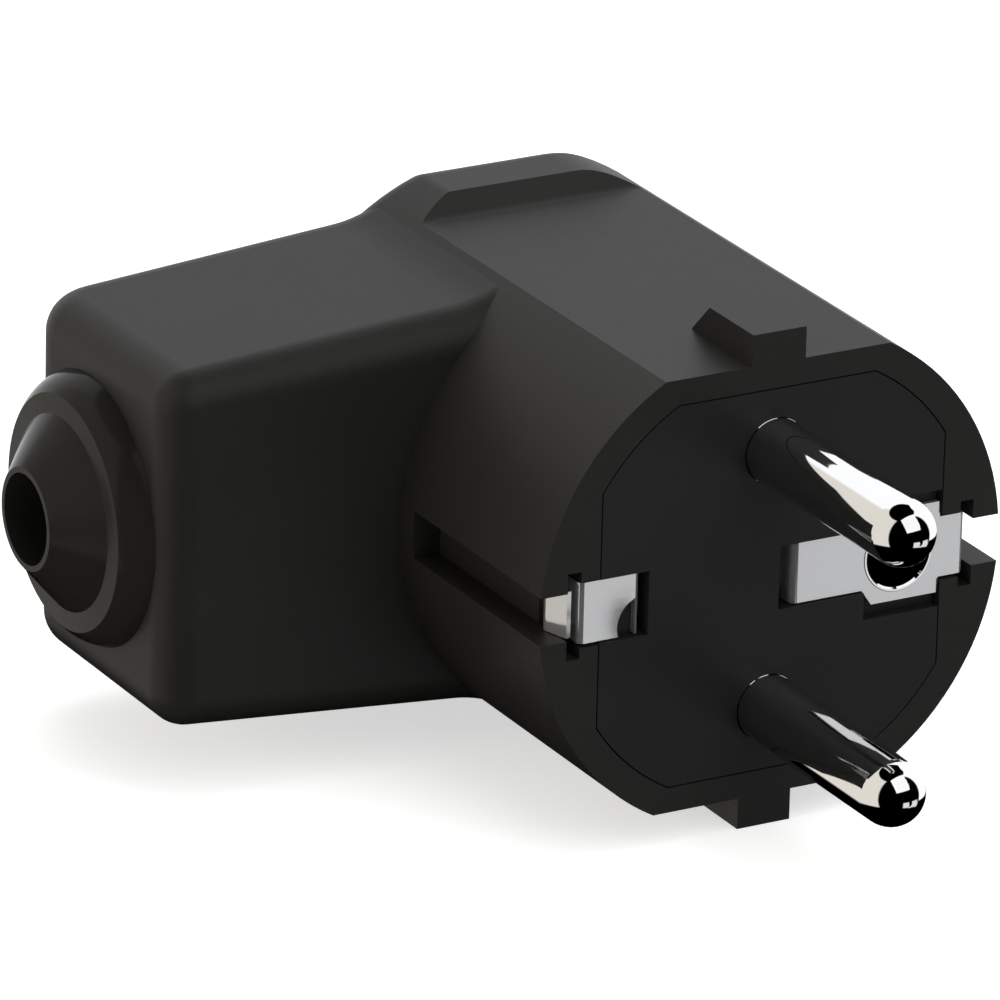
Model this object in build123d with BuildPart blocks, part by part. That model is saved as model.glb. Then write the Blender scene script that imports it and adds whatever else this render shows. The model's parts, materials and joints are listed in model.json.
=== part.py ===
"""Angled two-pole mains plug with earth contacts, wired by hand: moulded housing, contact insert, cord clamp.

Millimetres. The origin is the centre of the face that meets the socket outlet. The pins point to -Y,
the cord leaves to -X and +Z is up.
"""

import os
from math import cos, radians, sin, sqrt, tan

from build123d import *

# Round body of the housing
body_radius = 18.3
flat_height = 16.0  # from the axis to the flat on top and below
lip_cut = 0.95
lip_height = body_radius - lip_cut  # from the axis to the top of the finger lip
body_depth = 42.4
flat_length = 34.8  # from the face to the foot of the finger lip
lip_run = 1.7
lip_foot_round = 1.2
lip_end_round = 7.0
lip_end_round_at_box = 2.0
wall = 2.2
back_wall = 2.5
back_round = 2.3

# Polarising rib on each flat
rib_width = 4.2
rib_rise = 2.3
rib_length = 6.0

# Cord box on the side of the body
box_reach = 36.2
box_front = 19.6  # depth of its front face at the body's axis
box_front_at_end = 20.5
box_drop = 3.03  # how much lower than the body's flat it is at its end face
box_draft = 4.45  # degrees, above and below
box_sweep_end = sqrt(body_radius**2 - flat_height**2) - 0.1  # its top runs into the body's flat here
box_sweep = 4.0
box_sweep_start = box_sweep_end + box_sweep  # and starts to curve up here
box_top_round = 2.7
box_rear_corner = 4.1
box_front_round = 2.6
end_wall = 2.5

# Earth groove, clip slot and strip recess on both sides of the body
groove_depth = 2.15
groove_floor = body_radius - groove_depth  # from the axis
groove_width = 3.5
groove_length = 18.0
slot_width = 1.05
slot_inner = groove_floor - slot_width
slot_height = 6.4
slot_depth = 3.9
recess_height = 4.9
recess_depth = 0.75
pocket_wall = 0.55
pocket_outer = groove_floor - pocket_wall
pocket_mouth_width = 1.0
pocket_end_width = 1.4
pocket_depth = 10.2

# Contact insert
rim = 2.15
insert_radius = body_radius - rim
insert_height = 14.15
side_rim = 2.5
insert_width = groove_floor - side_rim
insert_plate = 3.5
insert_gap = 0.1
ledge = 1.0
hook_reach = 0.7
hook_width = 8.0
hook_thick = 1.6
hook_start = 6.6
hook_end = 8.0

# Contact pins
pin_radius = 2.4
pin_length = 19.0
pin_pitch = 19.0
pin_clearance = 0.05
pin_boss_radius = 4.4
shoulder_radius = 3.0  # the pin widens to this behind the face, so it can't be pulled out
shoulder_start = 0.5
pillar_radius = 3.6
pillar_flat = 3.2
pillar_start = 5.6
pillar_length = 10.4
wire_hole_radius = 1.35
wire_hole_place = 5.0  # from the front of the pillar
wire_hole_depth = pillar_start + wire_hole_place

# Sheet earth strip, folded into a hairpin clip at both ends
sheet = 0.4
strip_face = 0.25  # how far the strip lies behind the face
strip_width = 4.5
eye_width = 6.8
socket_margin = 3.35
socket_x = insert_width - socket_margin
eye_before = 2.05
eye_start = socket_x - eye_before
eye_after = 3.2
eye_end = socket_x + eye_after
eye_chamfer = 0.8
eye_end_chamfer = 0.1
landing_left = 3.2
bridge_left = insert_width - landing_left
bridge_right = 1.95
clip_gap = 0.1
clip_fold_tongue = pocket_outer - clip_gap - sheet / 2
hairpin_gap = 0.3
clip_fold_leg = clip_fold_tongue - sheet - hairpin_gap
knee_slant = 0.2
clip_knee = clip_fold_leg + knee_slant
crest_reach = 0.25
clip_crest = groove_floor + crest_reach
arm_margin_left = 1.25
arm_margin_right = 0.6  # the strip's arm reaches further out on the right
arm_end_left = groove_floor - arm_margin_left
arm_end_right = groove_floor - arm_margin_right
tip_margin_left = 0.38
tip_margin_right = 0.15
tip_left = groove_floor - tip_margin_left
tip_right = groove_floor - tip_margin_right
tip_depth_left = 0.45
tip_depth_right = 1.6  # and the tongue there starts deeper
clip_bend_depth = 3.5
clip_knee_depth = 3.2
clip_crest_depth = 2.6
clip_end_gap = 0.8
clip_depth = pocket_depth - clip_end_gap
tongue_width = 3.4
tongue_margin_left = 0.6
tongue_margin_right = 0.37
tongue_start_left = groove_floor - tongue_margin_left
tongue_start_right = groove_floor - tongue_margin_right
fold_radius = 0.4
arm_fold_radius = 0.27
crest_fold_radius = 0.5
knee_radius = 0.6
clip_fold_radius = 0.31
notch_radius = 2.2
notch_offset = 0.6
notch_x = bridge_left - notch_offset
notch_z = 1.6

# Openings in the insert that show the strip
window_margin_left = 0.7
window_left_end = bridge_left - window_margin_left
window_margin_right = 1.35
window_right_start = bridge_right - window_margin_right
window_margin_eye = 0.75
window_eye_start = eye_start - window_margin_eye
window_eye_height = 8.7
fold_slot_left = 1.0
fold_slot_right = 1.65

# Earth socket for the outlet's earth pin
socket_radius = 2.45
socket_wall = 0.25
socket_depth = 16.0
socket_mouth = 0.2
socket_mouth_chamfer = 0.12
socket_boss_radius = 4.2
socket_boss_depth = 12.0

# Earth terminal on the strip's bridge
earth_x = -4.25
terminal_screw_radius = 1.5
terminal_screw_length = 5.2
nut_side = 5.6
nut_height = 2.2
washer_side = 6.4
washer_height = 1.0

# Screws that hold the insert
fixing_margin = 6.95
fixing_x = insert_radius - fixing_margin
fixing_z = 7.2
fixing_radius = 1.5
fixing_length = 30.0
fixing_hole = 1.7
fixing_post_radius = 3.6
fixing_head_radius = 2.8
counterbore_radius = 3.0
counterbore_depth = 2.4
insert_post_radius = 2.9
thread_engaged = 4.0
insert_post_depth = body_depth - counterbore_depth - fixing_length + thread_engaged
bush_radius = 2.1
thread_spare = 2.0
bush_length = thread_engaged + thread_spare

# Cord clamp
clamp_x = -9.5
clamp_length = 5.4
clamp_screw_z = 8.0
clamp_screw_radius = 1.25
clamp_screw_length = 8.0
clamp_post_radius = 2.7
clamp_seat = 31.2  # depth of the plane where the clamp bar meets its posts
clamp_bar = 2.8
clamp_arch_rise = 3.0
clamp_arch_half_width = 5.2
clamp_half_width = 10.9
cradle_front = 34.0
cord_axis = 32.3  # depth of the cord's axis behind the face
cord_room = 4.3

# Cord gland
gland_neck_radius = 6.2
gland_skirt_radius = 9.9
gland_skirt_slope = 15  # degrees, where the skirt leaves the end face
gland_flange_radius = 8.5
gland_flange_height = 2.1
gland_cone_radius = 7.05
gland_cone_foot = 2.2
gland_nozzle_radius = 3.72
gland_height = 5.0
gland_bore_radius = 3.3
gland_bore_length = 3.8
gland_neck_length = 6.5
lock_ring_radius = 7.4
lock_ring_height = 1.6
seal_height = 4.0
seal_bore_radius = 3.5
seal_radius = 5.0

# Fits and slotted screw heads
slip = 0.05
head_radius = 2.2
head_height = 2.0
head_round = 0.5
drive_width = 0.9
drive_depth = 1.0


def at_depth(depth):
    """Plane at this depth behind the face, seen from the front with X to the right and Z up."""
    return Plane.XZ.offset(-depth)


def back(length):
    """Extrusion amount that runs this far towards the back."""
    return -length


def insert_outline(inset):
    """Outline that the insert and its seat share, moved inwards by the inset."""
    Circle(insert_radius - inset)
    Rectangle(2 * (insert_width - inset), 2 * (insert_height - inset), mode=Mode.INTERSECT)


def box_blank(inset, end_inset, depth):
    """The cord box, or with an inset its hollow: drafted above and below, with a slanted front face."""
    end_x = end_inset - box_reach
    end_height = flat_height - box_drop - inset + end_inset * tan(radians(box_draft))
    sweep_height = end_height + (-box_sweep_start - end_x) * tan(radians(box_draft))
    root_height = flat_height - inset
    with BuildPart() as blank:
        with BuildSketch(Plane.XZ):
            with BuildLine():
                top = Line((end_x, end_height), (-box_sweep_start, sweep_height))
                rise = TangentArc(top @ 1, (-box_sweep_end, root_height), tangent=top % 1)
                Polyline(top @ 0, (end_x, 0), (-box_sweep_end, 0), rise @ 1)
            make_face()
            mirror(about=Plane.XZ)
        extrude(amount=back(depth))
        with BuildSketch(Plane.XY):
            with BuildLine():
                Polyline(
                    (-box_reach, box_front_at_end + inset),
                    (0, box_front + inset),
                    (0, -1),
                    (-box_reach, -1),
                    close=True,
                )
            make_face()
        extrude(amount=body_radius, both=True, mode=Mode.SUBTRACT)
    return blank


def slotted_screw(x, z, seat, radius, length, head=head_radius, facing=1):
    """Screw along Y whose head stands on the seat depth and faces the back, or with -1 the front."""
    with BuildPart() as made:
        with BuildSketch(at_depth(seat)):
            with Locations((x, z)):
                Circle(head)
        extrude(amount=back(facing * head_height))
        rim = made.edges().sort_by(Axis.Y)[-1 if facing > 0 else 0]
        fillet(rim, radius=head_round)
        with BuildSketch(at_depth(seat)):
            with Locations((x, z)):
                Circle(radius)
        extrude(amount=back(-facing * length))
        with BuildSketch(at_depth(seat + facing * head_height)):
            with Locations((x, z)):
                Rectangle(2 * head, drive_width)
        extrude(amount=back(-facing * drive_depth), mode=Mode.SUBTRACT)
    return made


def contact_pin(z):
    """Solid pin with a round tip, a shoulder inside the insert and a pillar terminal behind it."""
    with BuildPart() as made:
        with BuildSketch(Plane.YZ):
            with BuildLine():
                tip_centre = pin_radius - pin_length
                tip = CenterArc((tip_centre, z), pin_radius, 90, 90)
                Polyline(
                    tip @ 0,
                    (0, z + pin_radius),
                    (shoulder_start, z + shoulder_radius),
                    (pillar_start, z + shoulder_radius),
                    (pillar_start, z),
                    tip @ 1,
                )
            make_face()
        revolve(axis=Axis((0, 0, z), (0, 1, 0)))
        with BuildSketch(at_depth(pillar_start)):
            with Locations((0, z)):
                Circle(pillar_radius)
                Rectangle(2 * pillar_radius, 2 * pillar_flat, mode=Mode.INTERSECT)
        extrude(amount=back(pillar_length))
        with BuildSketch(Plane.YZ):
            with Locations((wire_hole_depth, z)):
                Circle(wire_hole_radius)
        extrude(amount=pillar_radius + 1, both=True, mode=Mode.SUBTRACT)
        with BuildSketch(at_depth(wire_hole_depth)):
            with Locations((0, z)):
                Circle(terminal_screw_radius + slip)
        extrude(amount=back(pillar_start + pillar_length - wire_hole_depth), mode=Mode.SUBTRACT)
    return made


# Cord box with its rounded corners
with BuildPart() as cord_box:
    add(box_blank(0, 0, body_depth).part)
    upright = cord_box.faces().sort_by(Axis.X)[0].edges().filter_by(Axis.Z)
    fillet(upright.sort_by(Axis.Y)[-1], radius=box_rear_corner)
    outer_edges = cord_box.edges().filter_by(lambda e: e.center().X < -box_sweep_end - 0.01)
    top_and_bottom = outer_edges.filter_by(lambda e: abs(e.center().Z) > flat_height - box_drop - 1)
    at_back = top_and_bottom.filter_by(lambda e: e.center().Y > body_depth - box_rear_corner)
    at_end = top_and_bottom.filter_by(lambda e: e.center().X < -box_reach + 0.01)
    fillet(at_back + at_end, radius=box_top_round)
    front_face = cord_box.faces().filter_by(lambda f: f.normal_at().Y < -0.9)[0]
    front_edges = front_face.edges()
    fillet(front_edges.filter_by(lambda e: e.center().X < -box_sweep_end - 0.01), radius=box_front_round)

# Housing: one moulded hood of body, ribs, finger lips and cord box
with BuildPart() as housing:
    with BuildSketch(at_depth(0)) as lip_outline:
        Circle(body_radius)
        Rectangle(2 * body_radius, 2 * lip_height, mode=Mode.INTERSECT)
        lip_ends = lip_outline.vertices()
        fillet(lip_ends.filter_by(lambda v: v.X > 0), radius=lip_end_round)
        lip_ends = lip_outline.vertices().filter_by(lambda v: v.X < 0 and abs(v.Y) > flat_height)
        fillet(lip_ends, radius=lip_end_round_at_box)
    extrude(amount=back(body_depth))
    fillet(housing.faces().sort_by(Axis.Y)[-1].edges(), radius=back_round)
    with BuildSketch(Plane.YZ) as flat_cut:
        with BuildLine():
            Polyline(
                (-1, flat_height),
                (flat_length, flat_height),
                (flat_length + lip_run, lip_height),
                (flat_length + lip_run, body_radius),
                (-1, body_radius),
                close=True,
            )
        make_face()
        foot = flat_cut.vertices().sort_by_distance((flat_length, flat_height, 0))[0]
        fillet(foot, radius=lip_foot_round)
        mirror(about=Plane.XZ)
    extrude(amount=body_radius, both=True, mode=Mode.SUBTRACT)
    with BuildSketch(Plane.YZ):
        with BuildLine():
            Polyline(
                (0, flat_height - 1),
                (0, flat_height + rib_rise),
                (rib_length, flat_height + rib_rise),
                (rib_length + rib_rise, flat_height),
                (rib_length + rib_rise, flat_height - 1),
                close=True,
            )
        make_face()
        mirror(about=Plane.XZ)
    extrude(amount=rib_width / 2, both=True)
    add(cord_box.part)

    # Gland seat, round where the rear corner would fall away
    with BuildSketch(Plane.YZ.offset(-box_reach)):
        with Locations((cord_axis, 0)):
            Circle(gland_skirt_radius)
    extrude(amount=end_wall)

    # Insert seat, bore behind its ledge, rear bore and box hollow
    with BuildSketch(at_depth(0)):
        insert_outline(0)
    extrude(amount=back(insert_plate + insert_gap), mode=Mode.SUBTRACT)
    with BuildSketch(at_depth(0)):
        insert_outline(ledge)
    extrude(amount=back(box_front), mode=Mode.SUBTRACT)
    with BuildSketch(at_depth(box_front)):
        Circle(body_radius - wall)
        Rectangle(2 * body_radius, 2 * (flat_height - wall), mode=Mode.INTERSECT)
    extrude(amount=back(body_depth - back_wall - box_front), mode=Mode.SUBTRACT)
    add(box_blank(wall, end_wall, body_depth - back_wall).part, mode=Mode.SUBTRACT)
    with BuildSketch(at_depth(0)):
        with Locations((socket_x, 0)):
            Circle(socket_radius + socket_wall + 2 * insert_gap)
    extrude(amount=back(box_front), mode=Mode.SUBTRACT)

    # Tubes for the insert's screws, posts and cradle for the cord clamp
    with BuildSketch(at_depth(insert_post_depth + insert_gap)):
        with Locations((fixing_x, fixing_z), (fixing_x, -fixing_z)):
            Circle(fixing_post_radius)
    extrude(amount=back(body_depth - back_wall / 2 - insert_post_depth - insert_gap))
    with BuildSketch(at_depth(insert_post_depth)):
        with Locations((fixing_x, fixing_z), (fixing_x, -fixing_z)):
            Circle(fixing_hole)
    extrude(amount=back(body_depth - insert_post_depth), mode=Mode.SUBTRACT)
    with BuildSketch(at_depth(body_depth - counterbore_depth)):
        with Locations((fixing_x, fixing_z), (fixing_x, -fixing_z)):
            Circle(counterbore_radius)
    extrude(amount=back(counterbore_depth), mode=Mode.SUBTRACT)
    with BuildSketch(at_depth(clamp_seat)):
        with Locations((clamp_x, clamp_screw_z), (clamp_x, -clamp_screw_z)):
            Circle(clamp_post_radius)
    extrude(amount=back(body_depth - back_wall / 2 - clamp_seat))
    with BuildSketch(at_depth(cradle_front)):
        with Locations((clamp_x, 0)):
            Rectangle(clamp_length, 2 * clamp_screw_z)
    extrude(amount=back(body_depth - back_wall / 2 - cradle_front))
    with BuildSketch(Plane.YZ.offset(clamp_x)):
        with Locations((cord_axis, 0)):
            Circle(cord_room)
    extrude(amount=clamp_length, both=True, mode=Mode.SUBTRACT)
    with BuildSketch(at_depth(clamp_seat)):
        with Locations((clamp_x, clamp_screw_z), (clamp_x, -clamp_screw_z)):
            Circle(clamp_screw_radius + slip)
    extrude(amount=back(clamp_screw_length - clamp_bar + 1), mode=Mode.SUBTRACT)

    # Hole for the gland's neck
    with BuildSketch(Plane.YZ.offset(-box_reach)):
        with Locations((cord_axis, 0)):
            Circle(gland_neck_radius + slip)
    extrude(amount=end_wall, mode=Mode.SUBTRACT)

    # Groove, strip recess, clip slot and pocket on both sides
    for side in (1, -1):
        with BuildSketch(at_depth(0)):
            with Locations((side * (groove_floor + body_radius) / 2, 0)):
                Rectangle(body_radius - groove_floor, groove_width)
        extrude(amount=back(groove_length), mode=Mode.SUBTRACT)
        with BuildSketch(at_depth(0)):
            with Locations((side * (insert_width + groove_floor) / 2, 0)):
                Rectangle(groove_floor - insert_width, recess_height)
        extrude(amount=back(recess_depth), mode=Mode.SUBTRACT)
        with BuildSketch(at_depth(0)):
            with Locations((side * (slot_inner + groove_floor) / 2, 0)):
                Rectangle(groove_floor - slot_inner, slot_height)
        extrude(amount=back(slot_depth), mode=Mode.SUBTRACT)
        with BuildSketch(Plane.XY):
            with BuildLine():
                Polyline(
                    (side * (pocket_outer - pocket_mouth_width), 0),
                    (side * pocket_outer, 0),
                    (side * pocket_outer, pocket_depth),
                    (side * (pocket_outer - pocket_end_width), pocket_depth),
                    close=True,
                )
            make_face()
        extrude(amount=recess_height / 2, both=True, mode=Mode.SUBTRACT)

    # Catch for the insert's hook
    with BuildSketch(at_depth(hook_start - insert_gap)):
        with Locations((-(insert_width - ledge), 0)):
            Rectangle(2 * hook_reach, hook_width + 4 * insert_gap)
    extrude(amount=back(hook_end - hook_start + 4 * insert_gap), mode=Mode.SUBTRACT)

# Contact insert: plate with recesses for the strip, bosses for pins and socket, posts and hook
with BuildPart() as contact_insert:
    with BuildSketch(at_depth(0)):
        insert_outline(insert_gap)
    extrude(amount=back(insert_plate))
    with BuildSketch(at_depth(insert_plate)):
        with Locations((0, pin_pitch / 2), (0, -pin_pitch / 2)):
            Circle(pin_boss_radius)
        insert_limit = insert_width - ledge - insert_gap
        Rectangle(2 * insert_limit, 2 * (insert_height - ledge - insert_gap), mode=Mode.INTERSECT)
    extrude(amount=back(pillar_start - insert_plate))
    with BuildSketch(at_depth(insert_plate)):
        with Locations((socket_x, 0)):
            Circle(socket_boss_radius)
        Rectangle(2 * insert_limit, 2 * socket_boss_radius, mode=Mode.INTERSECT)
    extrude(amount=back(socket_boss_depth - insert_plate))
    with BuildSketch(at_depth(insert_plate)):
        with Locations((fixing_x, fixing_z), (fixing_x, -fixing_z)):
            Circle(insert_post_radius)
    extrude(amount=back(insert_post_depth - insert_plate))
    with BuildSketch(at_depth(insert_plate)):
        with Locations((-insert_limit + hook_thick / 2, 0)):
            Rectangle(hook_thick, hook_width)
    extrude(amount=back(hook_end - insert_plate))
    with BuildSketch(at_depth(hook_start)):
        with Locations((-insert_limit, 0)):
            Rectangle(2 * (hook_reach - insert_gap), hook_width)
    extrude(amount=back(hook_end - hook_start))

    # Holes for pins and their shoulders, socket and bushes
    for z in (pin_pitch / 2, -pin_pitch / 2):
        with BuildSketch(Plane.YZ):
            with BuildLine():
                Polyline(
                    (0, z),
                    (0, z + pin_radius + pin_clearance),
                    (shoulder_start, z + shoulder_radius + pin_clearance),
                    (pillar_start, z + shoulder_radius + pin_clearance),
                    (pillar_start, z),
                    close=True,
                )
            make_face()
        revolve(axis=Axis((0, 0, z), (0, 1, 0)), mode=Mode.SUBTRACT)
    with BuildSketch(at_depth(0)):
        with Locations((socket_x, 0)):
            Circle(socket_radius + socket_wall + slip)
    extrude(amount=back(socket_boss_depth), mode=Mode.SUBTRACT)
    with BuildSketch(at_depth(insert_post_depth - bush_length)):
        with Locations((fixing_x, fixing_z), (fixing_x, -fixing_z)):
            Circle(bush_radius + slip)
    extrude(amount=back(bush_length), mode=Mode.SUBTRACT)

    # Recesses that show the strip, slots for its folds and a pocket for the earth nut
    strip_room = strip_width + 2 * insert_gap
    with BuildSketch(at_depth(0)):
        with Locations((-(insert_width + window_left_end) / 2, 0)):
            Rectangle(insert_width - window_left_end, strip_room)
        with Locations(((insert_width + window_right_start) / 2, 0)):
            Rectangle(insert_width - window_right_start, strip_room)
        with Locations(((insert_width + window_eye_start) / 2, 0)):
            Rectangle(insert_width - window_eye_start, window_eye_height)
    extrude(amount=back(recess_depth), mode=Mode.SUBTRACT)
    with BuildSketch(at_depth(0)):
        with Locations((-window_left_end - fold_slot_left / 2, 0)):
            Rectangle(fold_slot_left, strip_room)
        with Locations((window_right_start + fold_slot_right / 2, 0)):
            Rectangle(fold_slot_right, strip_room)
    extrude(amount=back(insert_plate), mode=Mode.SUBTRACT)
    with BuildSketch(at_depth(insert_plate - nut_height - insert_gap)):
        with Locations((earth_x, 0)):
            Rectangle(nut_side + 2 * slip, nut_side + 2 * slip)
    extrude(amount=back(nut_height + insert_gap), mode=Mode.SUBTRACT)

line_pin = contact_pin(pin_pitch / 2)
neutral_pin = contact_pin(-pin_pitch / 2)
pillar_top = pillar_start + pillar_length
line_terminal_screw = slotted_screw(
    0, pin_pitch / 2, pillar_top + slip, terminal_screw_radius, terminal_screw_length
)
neutral_terminal_screw = slotted_screw(
    0, -pin_pitch / 2, pillar_top + slip, terminal_screw_radius, terminal_screw_length
)

# Earth strip: traced in plan, then trimmed to its widths as seen from the front
strip_line = strip_face + sheet / 2
bridge_line = insert_plate + sheet / 2


def hairpin(arm_end, tip, tip_depth):
    """Line of a clip from the tip of its tongue back to the end of the strip's arm."""
    return [
        (tip, tip_depth),
        (clip_crest, clip_crest_depth),
        (clip_fold_tongue, clip_bend_depth),
        (clip_fold_tongue, clip_depth),
        (clip_fold_leg, clip_depth),
        (clip_knee, clip_knee_depth),
        (arm_end, strip_line),
    ]


bridge = [
    (-bridge_left, strip_line),
    (-bridge_left, bridge_line),
    (bridge_right, bridge_line),
    (bridge_right, strip_line),
]
with BuildPart() as earth_strip:
    with BuildSketch(Plane.XY):
        with BuildLine():
            left = [(-x, y) for x, y in hairpin(arm_end_left, tip_left, tip_depth_left)]
            right = hairpin(arm_end_right, tip_right, tip_depth_right)[::-1]
            bends = [crest_fold_radius, fold_radius] + [clip_fold_radius] * 2 + [knee_radius, arm_fold_radius]
            FilletPolyline(*left, *bridge, *right, radius=bends + [fold_radius] * 4 + bends[::-1])
        trace(line_width=sheet)
    extrude(amount=eye_width / 2, both=True)
    with BuildSketch(at_depth(0)):
        with Locations(((tongue_start_right - tongue_start_left) / 2, 0)):
            Rectangle(tongue_start_right + tongue_start_left, strip_width)
        Rectangle(2 * body_radius, tongue_width)
        with BuildLine():
            Polyline(
                (eye_start - eye_chamfer, 0),
                (eye_start - eye_chamfer, strip_width / 2),
                (eye_start, eye_width / 2),
                (eye_end, eye_width / 2),
                (eye_end + eye_end_chamfer, strip_width / 2),
                (eye_end + eye_end_chamfer, 0),
                close=True,
            )
        make_face()
        mirror(about=Plane.XZ)
    extrude(amount=back(body_depth), mode=Mode.INTERSECT)
    with BuildSketch(at_depth(0)):
        with Locations((socket_x, 0)):
            Circle(socket_radius + socket_wall + slip)
    extrude(amount=back(recess_depth), mode=Mode.SUBTRACT)
    with BuildSketch(at_depth(0)):
        with Locations((-notch_x, -notch_z)):
            Circle(notch_radius)
        with Locations((-bridge_left - sheet / 2 - notch_radius, -notch_z)):
            Rectangle(2 * notch_radius, 2 * notch_radius, mode=Mode.INTERSECT)
    extrude(amount=back(recess_depth), mode=Mode.SUBTRACT)
    with BuildSketch(at_depth(insert_plate)):
        with Locations((earth_x, 0)):
            Circle(terminal_screw_radius + slip)
    extrude(amount=back(sheet), mode=Mode.SUBTRACT)

# Earth socket: thin tube through the strip's eye
with BuildPart() as earth_socket_bush:
    with BuildSketch(at_depth(socket_mouth)):
        with Locations((socket_x, 0)):
            Circle(socket_radius + socket_wall)
            Circle(socket_radius, mode=Mode.SUBTRACT)
    extrude(amount=back(socket_depth - socket_mouth))
    mouth = earth_socket_bush.edges().filter_by(GeomType.CIRCLE).group_by(Axis.Y)[0].sort_by(SortBy.RADIUS)[0]
    chamfer(mouth, length=socket_mouth_chamfer)

# Earth terminal: square nut in the insert, square washer and screw
with BuildPart() as earth_terminal_nut:
    with BuildSketch(at_depth(insert_plate - nut_height)):
        with Locations((earth_x, 0)):
            RectangleRounded(nut_side, nut_side, 0.4)
            Circle(terminal_screw_radius + slip, mode=Mode.SUBTRACT)
    extrude(amount=back(nut_height))

with BuildPart() as earth_clamp_washer:
    with BuildSketch(at_depth(insert_plate + sheet)):
        with Locations((earth_x, 0)):
            RectangleRounded(washer_side, washer_side, 0.8)
            Circle(terminal_screw_radius + slip, mode=Mode.SUBTRACT)
    extrude(amount=back(washer_height))

earth_terminal_screw = slotted_screw(
    earth_x,
    0,
    insert_plate + sheet + washer_height,
    terminal_screw_radius,
    sheet + washer_height + nut_height - 0.2,
)

# Screws that draw the insert into the housing, and the bushes they run in
screw_seat = body_depth - counterbore_depth
housing_screw_upper = slotted_screw(
    fixing_x, fixing_z, screw_seat, fixing_radius, fixing_length, fixing_head_radius
)
housing_screw_lower = slotted_screw(
    fixing_x, -fixing_z, screw_seat, fixing_radius, fixing_length, fixing_head_radius
)


def insert_bush(z):
    """Brass bush in one of the insert's posts."""
    with BuildPart() as made:
        with BuildSketch(at_depth(insert_post_depth - bush_length)):
            with Locations((fixing_x, z)):
                Circle(bush_radius)
                Circle(fixing_radius + slip, mode=Mode.SUBTRACT)
        extrude(amount=back(bush_length))
    return made


insert_bush_upper = insert_bush(fixing_z)
insert_bush_lower = insert_bush(-fixing_z)

# Cord clamp: bar with an arch over the cord
with BuildPart() as cord_clamp:
    with BuildSketch(Plane.YZ.offset(clamp_x)):
        with Locations((clamp_seat - clamp_bar / 2, 0)):
            Rectangle(clamp_bar, 2 * clamp_half_width)
        arch_depth = clamp_bar + clamp_arch_rise
        with Locations((clamp_seat - arch_depth / 2, 0)):
            Rectangle(arch_depth, 2 * clamp_arch_half_width)
    extrude(amount=clamp_length / 2, both=True)
    crown = cord_clamp.edges().filter_by(Axis.X).group_by(Axis.Y)[0]
    fillet(crown, radius=2)
    ends = cord_clamp.edges().filter_by(Axis.Y)
    fillet(ends.filter_by(lambda e: abs(e.center().Z) > clamp_screw_z), radius=2)
    with BuildSketch(Plane.YZ.offset(clamp_x)):
        with Locations((cord_axis, 0)):
            Circle(cord_room)
    extrude(amount=clamp_length, both=True, mode=Mode.SUBTRACT)
    with BuildSketch(at_depth(clamp_seat - clamp_bar)):
        with Locations((clamp_x, clamp_screw_z), (clamp_x, -clamp_screw_z)):
            Circle(clamp_screw_radius + slip)
    extrude(amount=back(clamp_bar), mode=Mode.SUBTRACT)

clamp_top = clamp_seat - clamp_bar
cord_clamp_screw_upper = slotted_screw(
    clamp_x, clamp_screw_z, clamp_top, clamp_screw_radius, clamp_screw_length, facing=-1
)
cord_clamp_screw_lower = slotted_screw(
    clamp_x, -clamp_screw_z, clamp_top, clamp_screw_radius, clamp_screw_length, facing=-1
)

# Gland with its seal and lock ring, turned about the cord's axis
cord_line = Axis((0, cord_axis, 0), (1, 0, 0))


def outside(out, radius):
    """Point at this distance outside the end face and this radius from the cord's axis."""
    return (-box_reach - out, cord_axis + radius)


def turned(points):
    """Solid turned about the cord's axis from points of distance outside the end face and radius."""
    with BuildPart() as made:
        with BuildSketch(Plane.XY):
            with BuildLine():
                Polyline(*[outside(out, radius) for out, radius in points], close=True)
            make_face()
        revolve(axis=cord_line)
    return made


seal_seat = gland_height - gland_bore_length
with BuildPart() as cable_gland:
    with BuildSketch(Plane.XY):
        with BuildLine():
            slope = radians(gland_skirt_slope)
            skirt = TangentArc(
                outside(0, gland_skirt_radius),
                outside(gland_flange_height, gland_flange_radius),
                tangent=(-cos(slope), -sin(slope)),
            )
            Polyline(
                skirt @ 1,
                outside(gland_cone_foot, gland_cone_radius),
                outside(gland_height, gland_nozzle_radius),
                outside(gland_height, gland_bore_radius),
                outside(seal_seat, gland_bore_radius),
                outside(seal_seat, seal_radius + slip),
                outside(-gland_neck_length, seal_radius + slip),
                outside(-gland_neck_length, gland_neck_radius),
                outside(0, gland_neck_radius),
                skirt @ 0,
            )
        make_face()
    revolve(axis=cord_line)

gland_seal = turned(
    [
        (seal_seat - slip, seal_bore_radius),
        (seal_seat - slip, seal_radius),
        (seal_seat - slip - seal_height, seal_radius),
        (seal_seat - slip - seal_height, seal_bore_radius),
    ]
)
gland_lock_ring = turned(
    [
        (-end_wall, gland_neck_radius + slip),
        (-end_wall, lock_ring_radius),
        (-end_wall - lock_ring_height, lock_ring_radius),
        (-end_wall - lock_ring_height, gland_neck_radius + slip),
    ]
)

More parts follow.
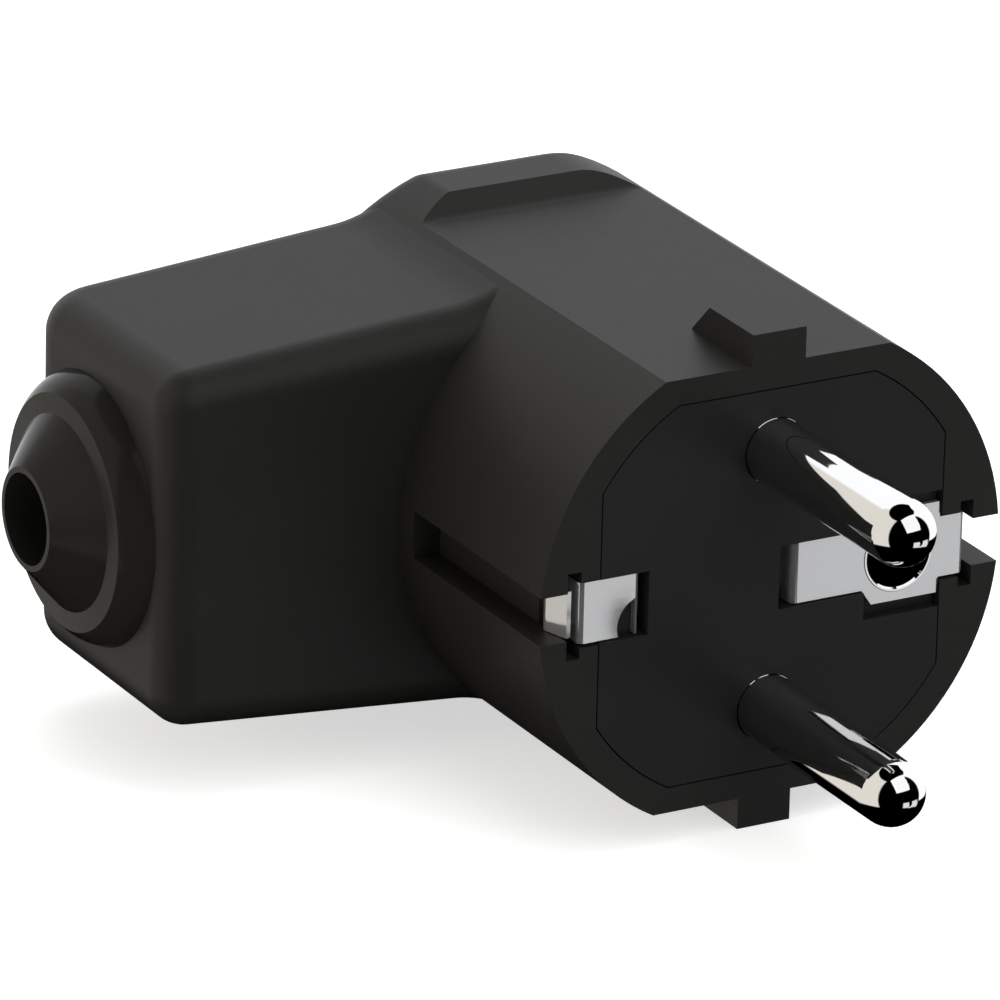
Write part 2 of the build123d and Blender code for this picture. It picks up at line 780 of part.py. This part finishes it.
os.makedirs("parts", exist_ok=True)
pieces = {
    "housing": housing,
    "contact_insert": contact_insert,
    "line_pin": line_pin,
    "neutral_pin": neutral_pin,
    "line_terminal_screw": line_terminal_screw,
    "neutral_terminal_screw": neutral_terminal_screw,
    "earth_strip": earth_strip,
    "earth_socket_bush": earth_socket_bush,
    "earth_terminal_screw": earth_terminal_screw,
    "earth_clamp_washer": earth_clamp_washer,
    "earth_terminal_nut": earth_terminal_nut,
    "housing_screw_upper": housing_screw_upper,
    "housing_screw_lower": housing_screw_lower,
    "insert_bush_upper": insert_bush_upper,
    "insert_bush_lower": insert_bush_lower,
    "cord_clamp": cord_clamp,
    "cord_clamp_screw_upper": cord_clamp_screw_upper,
    "cord_clamp_screw_lower": cord_clamp_screw_lower,
    "cable_gland": cable_gland,
    "gland_seal": gland_seal,
    "gland_lock_ring": gland_lock_ring,
}
for label, piece in pieces.items():
    piece.part.label = label
    export_step(piece.part, f"parts/{label}.step")
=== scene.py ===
import json

import bmesh
import bpy
from mathutils import Matrix, Vector


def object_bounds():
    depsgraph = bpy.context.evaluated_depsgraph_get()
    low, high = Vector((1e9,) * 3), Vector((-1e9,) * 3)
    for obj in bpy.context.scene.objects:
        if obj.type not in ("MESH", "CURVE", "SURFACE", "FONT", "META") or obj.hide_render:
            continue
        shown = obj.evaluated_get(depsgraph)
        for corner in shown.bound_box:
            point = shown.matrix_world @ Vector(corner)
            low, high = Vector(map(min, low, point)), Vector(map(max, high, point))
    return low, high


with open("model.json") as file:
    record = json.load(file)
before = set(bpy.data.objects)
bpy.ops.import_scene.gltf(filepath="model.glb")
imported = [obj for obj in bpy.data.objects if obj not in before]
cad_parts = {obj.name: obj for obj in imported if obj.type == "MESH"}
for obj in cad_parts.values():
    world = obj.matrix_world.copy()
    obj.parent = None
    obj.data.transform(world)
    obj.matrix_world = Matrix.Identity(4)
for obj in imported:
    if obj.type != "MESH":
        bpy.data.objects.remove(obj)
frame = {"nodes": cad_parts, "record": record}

nodes = frame["nodes"]
cadBox = [list(corner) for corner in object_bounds()]
mm = 0.001
plainWhite = (1.0, 1.0, 1.0)
noiseMiddle = 0.5
print("frame loaded:", len(nodes), "pieces")


class Wire:  # a shader value that takes Python's operators
    def __init__(self, finish, socket):
        self.finish = finish
        self.socket = socket

    def maths(self, operation, first, second):
        return self.finish.node("Math", {"operation": operation}, {0: first, 1: second})

    def __add__(self, other):
        return self.maths("ADD", self, other)

    def __radd__(self, other):
        return self.maths("ADD", other, self)

    def __sub__(self, other):
        return self.maths("SUBTRACT", self, other)

    def __rsub__(self, other):
        return self.maths("SUBTRACT", other, self)

    def __mul__(self, other):
        return self.maths("MULTIPLY", self, other)

    def __rmul__(self, other):
        return self.maths("MULTIPLY", other, self)


class Finish:  # one node tree, of a material or of the world
    def __init__(self, tree):
        self.tree = tree
        tree.nodes.clear()

    def node(self, kind, settings, inputs, output=0):
        made = self.tree.nodes.new("ShaderNode" + kind)
        for key, value in settings.items():
            setattr(made, key, value)
        for key, value in inputs.items():
            if isinstance(value, Wire):
                self.tree.links.new(value.socket, made.inputs[key])
            else:
                made.inputs[key].default_value = value
        return Wire(self, made.outputs[output]) if made.outputs else None

    def place(self):
        return self.node("TexCoord", {}, {}, "Object")

    def noise(self, where, scale, detail):
        return self.node("TexNoise", {}, {"Vector": where, "Scale": scale, "Detail": detail}, "Fac")

    def between(self, factor, low, high):  # a colour that runs from low to high
        ends = [colour if isinstance(colour, Wire) else (*colour, 1.0) for colour in (low, high)]
        return self.node("Mix", {"data_type": "RGBA"}, {0: factor, 6: ends[0], 7: ends[1]}, 2)

    def along(self, vector, axis):  # one coordinate of a vector: 0, 1 or 2
        return self.node("SeparateXYZ", {}, {"Vector": vector}, axis)

    def fade(self, value, low, high):  # 0 below low, 1 above high; the other way round if low is larger
        return self.node("MapRange", {"interpolation_type": "SMOOTHSTEP"}, {0: value, 1: low, 2: high})

    def bump(self, height, strength, distance):
        inputs = {"Height": height, "Strength": strength, "Distance": distance}
        return self.node("Bump", {}, inputs)

    def ray(self, kind):  # 1 for rays of that kind, 0 for others
        return self.node("LightPath", {}, {}, f"Is {kind} Ray")


def newFinish(name):
    material = bpy.data.materials.new(name)
    material.use_nodes = True
    return material, Finish(material.node_tree)


def close(finish, inputs):  # the shader at the end of a material
    shader = finish.node("BsdfPrincipled", {}, inputs)
    finish.node("OutputMaterial", {}, {"Surface": shader})


def mouldedPlastic(name, look):
    material, finish = newFinish(name)
    cloud = finish.noise(finish.place(), look["cloudScale"], look["cloudDetail"])
    grain = finish.noise(finish.place(), look["grainScale"], look["grainDetail"])
    close(finish, {
        "Base Color": finish.between(cloud, look["dark"], look["light"]),
        "Roughness": look["roughness"] + (grain - noiseMiddle) * look["roughnessSpread"],
        "Specular IOR Level": look["specular"],
        "Normal": finish.bump(grain, look["grainStrength"], look["grainDepth"]),
    })
    return material


def metal(name, look):
    material, finish = newFinish(name)
    stretch = finish.node("Mapping", {}, {"Vector": finish.place(), "Scale": look["stretch"]})
    wave = finish.noise(stretch, look["waveScale"], look["waveDetail"])
    close(finish, {
        "Base Color": finish.between(wave, look["dark"], look["light"]),
        "Metallic": look["metallic"],
        "Roughness": look["roughness"] + (wave - noiseMiddle) * look["roughnessSpread"],
        "Normal": finish.bump(wave, look["waveStrength"], look["waveDepth"]),
    })
    return material


housingLook = {
    "dark": (0.0140, 0.0137, 0.0126), "light": (0.0185, 0.0180, 0.0166),
    "cloudScale": 90.0, "cloudDetail": 3.0,
    "roughness": 0.48, "roughnessSpread": 0.10, "specular": 0.24,
    "grainScale": 4600.0, "grainDetail": 2.0, "grainStrength": 0.22, "grainDepth": 0.04 * mm,
}
insertLook = {
    "dark": (0.0115, 0.0115, 0.0113), "light": (0.0149, 0.0149, 0.0147),
    "cloudScale": 110.0, "cloudDetail": 3.0,
    "roughness": 0.50, "roughnessSpread": 0.10, "specular": 0.30,
    "grainScale": 3000.0, "grainDetail": 2.0, "grainStrength": 0.20, "grainDepth": 0.04 * mm,
}
glandLook = {
    "dark": (0.0128, 0.0124, 0.0113), "light": (0.0166, 0.0160, 0.0146),
    "cloudScale": 120.0, "cloudDetail": 3.0,
    "roughness": 0.16, "roughnessSpread": 0.04, "specular": 0.10,
    "grainScale": 900.0, "grainDetail": 2.0, "grainStrength": 0.03, "grainDepth": 0.03 * mm,
}
sealLook = dict(insertLook, roughness=0.80)
pinLook = {
    "dark": (0.86, 0.86, 0.86), "light": (0.93, 0.93, 0.92), "metallic": 1.0,
    "roughness": 0.05, "roughnessSpread": 0.03,
    "stretch": (1.0, 1.0, 1.0), "waveScale": 260.0, "waveDetail": 3.0,
    "waveStrength": 0.02, "waveDepth": 0.02 * mm,
}
stripLook = {
    "dark": (0.61, 0.61, 0.61), "light": (0.655, 0.655, 0.655), "metallic": 0.8,
    "roughness": 0.12, "roughnessSpread": 0.04,
    "stretch": (1.0, 1.0, 14.0), "waveScale": 320.0, "waveDetail": 3.0,
    "waveStrength": 0.08, "waveDepth": 0.02 * mm,
}
screwLook = {
    "dark": (0.45, 0.45, 0.46), "light": (0.58, 0.58, 0.60), "metallic": 1.0,
    "roughness": 0.20, "roughnessSpread": 0.06,
    "stretch": (1.0, 1.0, 1.0), "waveScale": 320.0, "waveDetail": 3.0,
    "waveStrength": 0.08, "waveDepth": 0.02 * mm,
}
brassLook = dict(screwLook, dark=(0.55, 0.38, 0.14), light=(0.70, 0.50, 0.20))

finishes = {  # by the part's material slots
    "moulded_black": mouldedPlastic("housingPlastic", housingLook),
    "insert_black": mouldedPlastic("insertPlastic", insertLook),
    "gland_black": mouldedPlastic("glandPlastic", glandLook),
    "seal_rubber": mouldedPlastic("sealRubber", sealLook),
    "nickel_plated": metal("pinPlating", pinLook),
    "tinned_sheet": metal("stripMetal", stripLook),
    "steel_screw": metal("screwSteel", screwLook),
    "brass": metal("turnedBrass", brassLook),
}
for entry in frame["record"]["subparts"]:
    node = nodes[entry["node"]]
    node.data.materials.clear()
    node.data.materials.append(finishes[entry["material_slot"]])
print("finishes:", len(finishes))

# Floor, pale to the edge of every view
floorSizes = {"radius": 3.0, "drop": 0.02 * mm, "sides": 96}
floorLook = {
    "mottleScale": 40.0, "mottleDetail": 2.0, "dark": (0.84, 0.84, 0.84), "light": (0.86, 0.86, 0.86),
    "glow": 0.6,  # for rays that see it, so that it is white
}


def stagePiece(name, mesh, material):
    data = bpy.data.meshes.new(name)
    mesh.to_mesh(data)
    mesh.free()
    piece = bpy.data.objects.new(name, data)
    bpy.context.scene.collection.objects.link(piece)
    data.materials.append(material)
    return piece


def floorFinish(look):
    material, finish = newFinish("paleFloor")
    seen = finish.ray("Camera") + finish.ray("Glossy") + finish.ray("Transmission")
    mottle = finish.noise(finish.place(), look["mottleScale"], look["mottleDetail"])
    paint = finish.node("BsdfDiffuse", {}, {"Color": finish.between(mottle, look["dark"], look["light"])})
    glow = finish.node("Emission", {}, {"Color": (*plainWhite, 1.0), "Strength": seen * look["glow"]})
    both = finish.node("AddShader", {}, {0: paint, 1: glow})
    finish.node("OutputMaterial", {}, {"Surface": both})
    return material


floorMesh = bmesh.new()
bmesh.ops.create_circle(floorMesh, cap_ends=True, segments=floorSizes["sides"], radius=floorSizes["radius"])
bmesh.ops.translate(floorMesh, verts=floorMesh.verts, vec=(0, 0, cadBox[0][2] - floorSizes["drop"]))
floor = stagePiece("floor", floorMesh, floorFinish(floorLook))
floor.visible_glossy = False  # gloss sees the studio there

# The air lights everything evenly. Gloss sees a dark studio with a pale wall round the sides and back,
# and a low strip of light in front. Each pair is where an edge starts to fade in and where it is full,
# along the ray's x (right), y (back) or z (up)
studio = {
    "ambient": 0.43,
    "wallFront": (-0.34, -0.26),  # y
    "wallTop": (0.83, 0.81),  # z
    "wallFoot": (-0.37, -0.33),
    "wallFootLeft": (-0.55, -0.50),
    "leftStart": (-0.20, -0.30),  # x
    "rightTint": (1.09, 1.10, 1.12),
    "leftTint": (0.80, 0.77, 0.70),
    "stripLow": (-0.55, -0.51),  # z
    "stripHigh": (-0.26, -0.29),
    "stripLeft": (0.14, 0.20),  # x
    "stripRight": (0.88, 0.82),
    "stripBack": (-0.30, -0.36),  # y
    "stripGlow": 0.72,
}
world = bpy.data.worlds.new("studio")
bpy.context.scene.world = world
world.use_nodes = True
air = Finish(world.node_tree)
outward = air.node("TexCoord", {}, {}, "Generated")
sideways, backward, upward = [air.along(outward, axis) for axis in (0, 1, 2)]
left = air.fade(sideways, *studio["leftStart"])
foot = air.fade(upward, *studio["wallFoot"])
foot = foot + left * (air.fade(upward, *studio["wallFootLeft"]) - foot)
wall = air.fade(backward, *studio["wallFront"]) * air.fade(upward, *studio["wallTop"]) * foot
strip = air.fade(upward, *studio["stripLow"]) * air.fade(upward, *studio["stripHigh"])
strip = strip * air.fade(sideways, *studio["stripLeft"]) * air.fade(sideways, *studio["stripRight"])
strip = strip * air.fade(backward, *studio["stripBack"])
pale = wall + strip * studio["stripGlow"]
seen = air.ray("Camera")
glossy = air.ray("Glossy") + air.ray("Transmission")
strength = studio["ambient"] + seen * (1.0 - studio["ambient"]) + glossy * (pale - studio["ambient"])
tint = air.between(glossy, plainWhite, air.between(left, studio["rightTint"], studio["leftTint"]))
sky = air.node("Background", {}, {"Color": tint, "Strength": strength})
air.node("OutputWorld", {}, {"Surface": sky})

# Camera where the photograph was taken from
view = {
    "place": (-0.34253, -0.56677, 0.26650),
    "right": (0.8744, -0.4847, 0.0229),
    "up": (0.1593, 0.3314, 0.9298),
    "lens": 373.34,
    "film": 36.0,
    "shift": 0.0012,
    "nearest": 0.01,
}
camera = bpy.data.objects.new("camera", bpy.data.cameras.new("camera"))
bpy.context.scene.collection.objects.link(camera)
bpy.context.scene.camera = camera
camera.data.lens = view["lens"]
camera.data.sensor_width = view["film"]
camera.data.clip_start = view["nearest"]
camera.data.shift_y = view["shift"]
right = Vector(view["right"]).normalized()
up = Vector(view["up"])
up = (up - right * up.dot(right)).normalized()
turn = Matrix((right, up, right.cross(up))).transposed()
camera.matrix_world = Matrix.Translation(view["place"]) @ turn.to_4x4()

# Soft boxes, each turned to the object. The front one is the square that shows in the pins' tips
lamps = {
    "topBox": {
        "place": (0.12, 0.10, 0.75), "size": (0.70, 0.70), "power": 2.92,
        "colour": (0.96, 0.98, 1.0), "shows": False,
    },
    "frontBox": {
        "place": (0.097, -0.43, 0.41), "size": (0.57, 0.55), "power": 1.05,
        "colour": plainWhite, "shows": True,
    },
    "sideBox": {
        "place": (-0.75, 0.05, 0.20), "size": (0.40, 0.42), "power": 1.4,
        "colour": (1.0, 0.90, 0.74), "shows": False,
    },
}
for name, lamp in lamps.items():
    light = bpy.data.lights.new(name, "AREA")
    light.shape = "RECTANGLE"
    light.size, light.size_y = lamp["size"]
    light.energy = lamp["power"]
    light.color = lamp["colour"]
    holder = bpy.data.objects.new(name, light)
    holder.visible_glossy = lamp["shows"]
    bpy.context.scene.collection.objects.link(holder)
    away = Vector(lamp["place"])
    holder.matrix_world = Matrix.Translation(away) @ away.to_track_quat("Z", "Y").to_matrix().to_4x4()
bpy.context.scene.view_settings.view_transform = "Standard"
print("studio set")
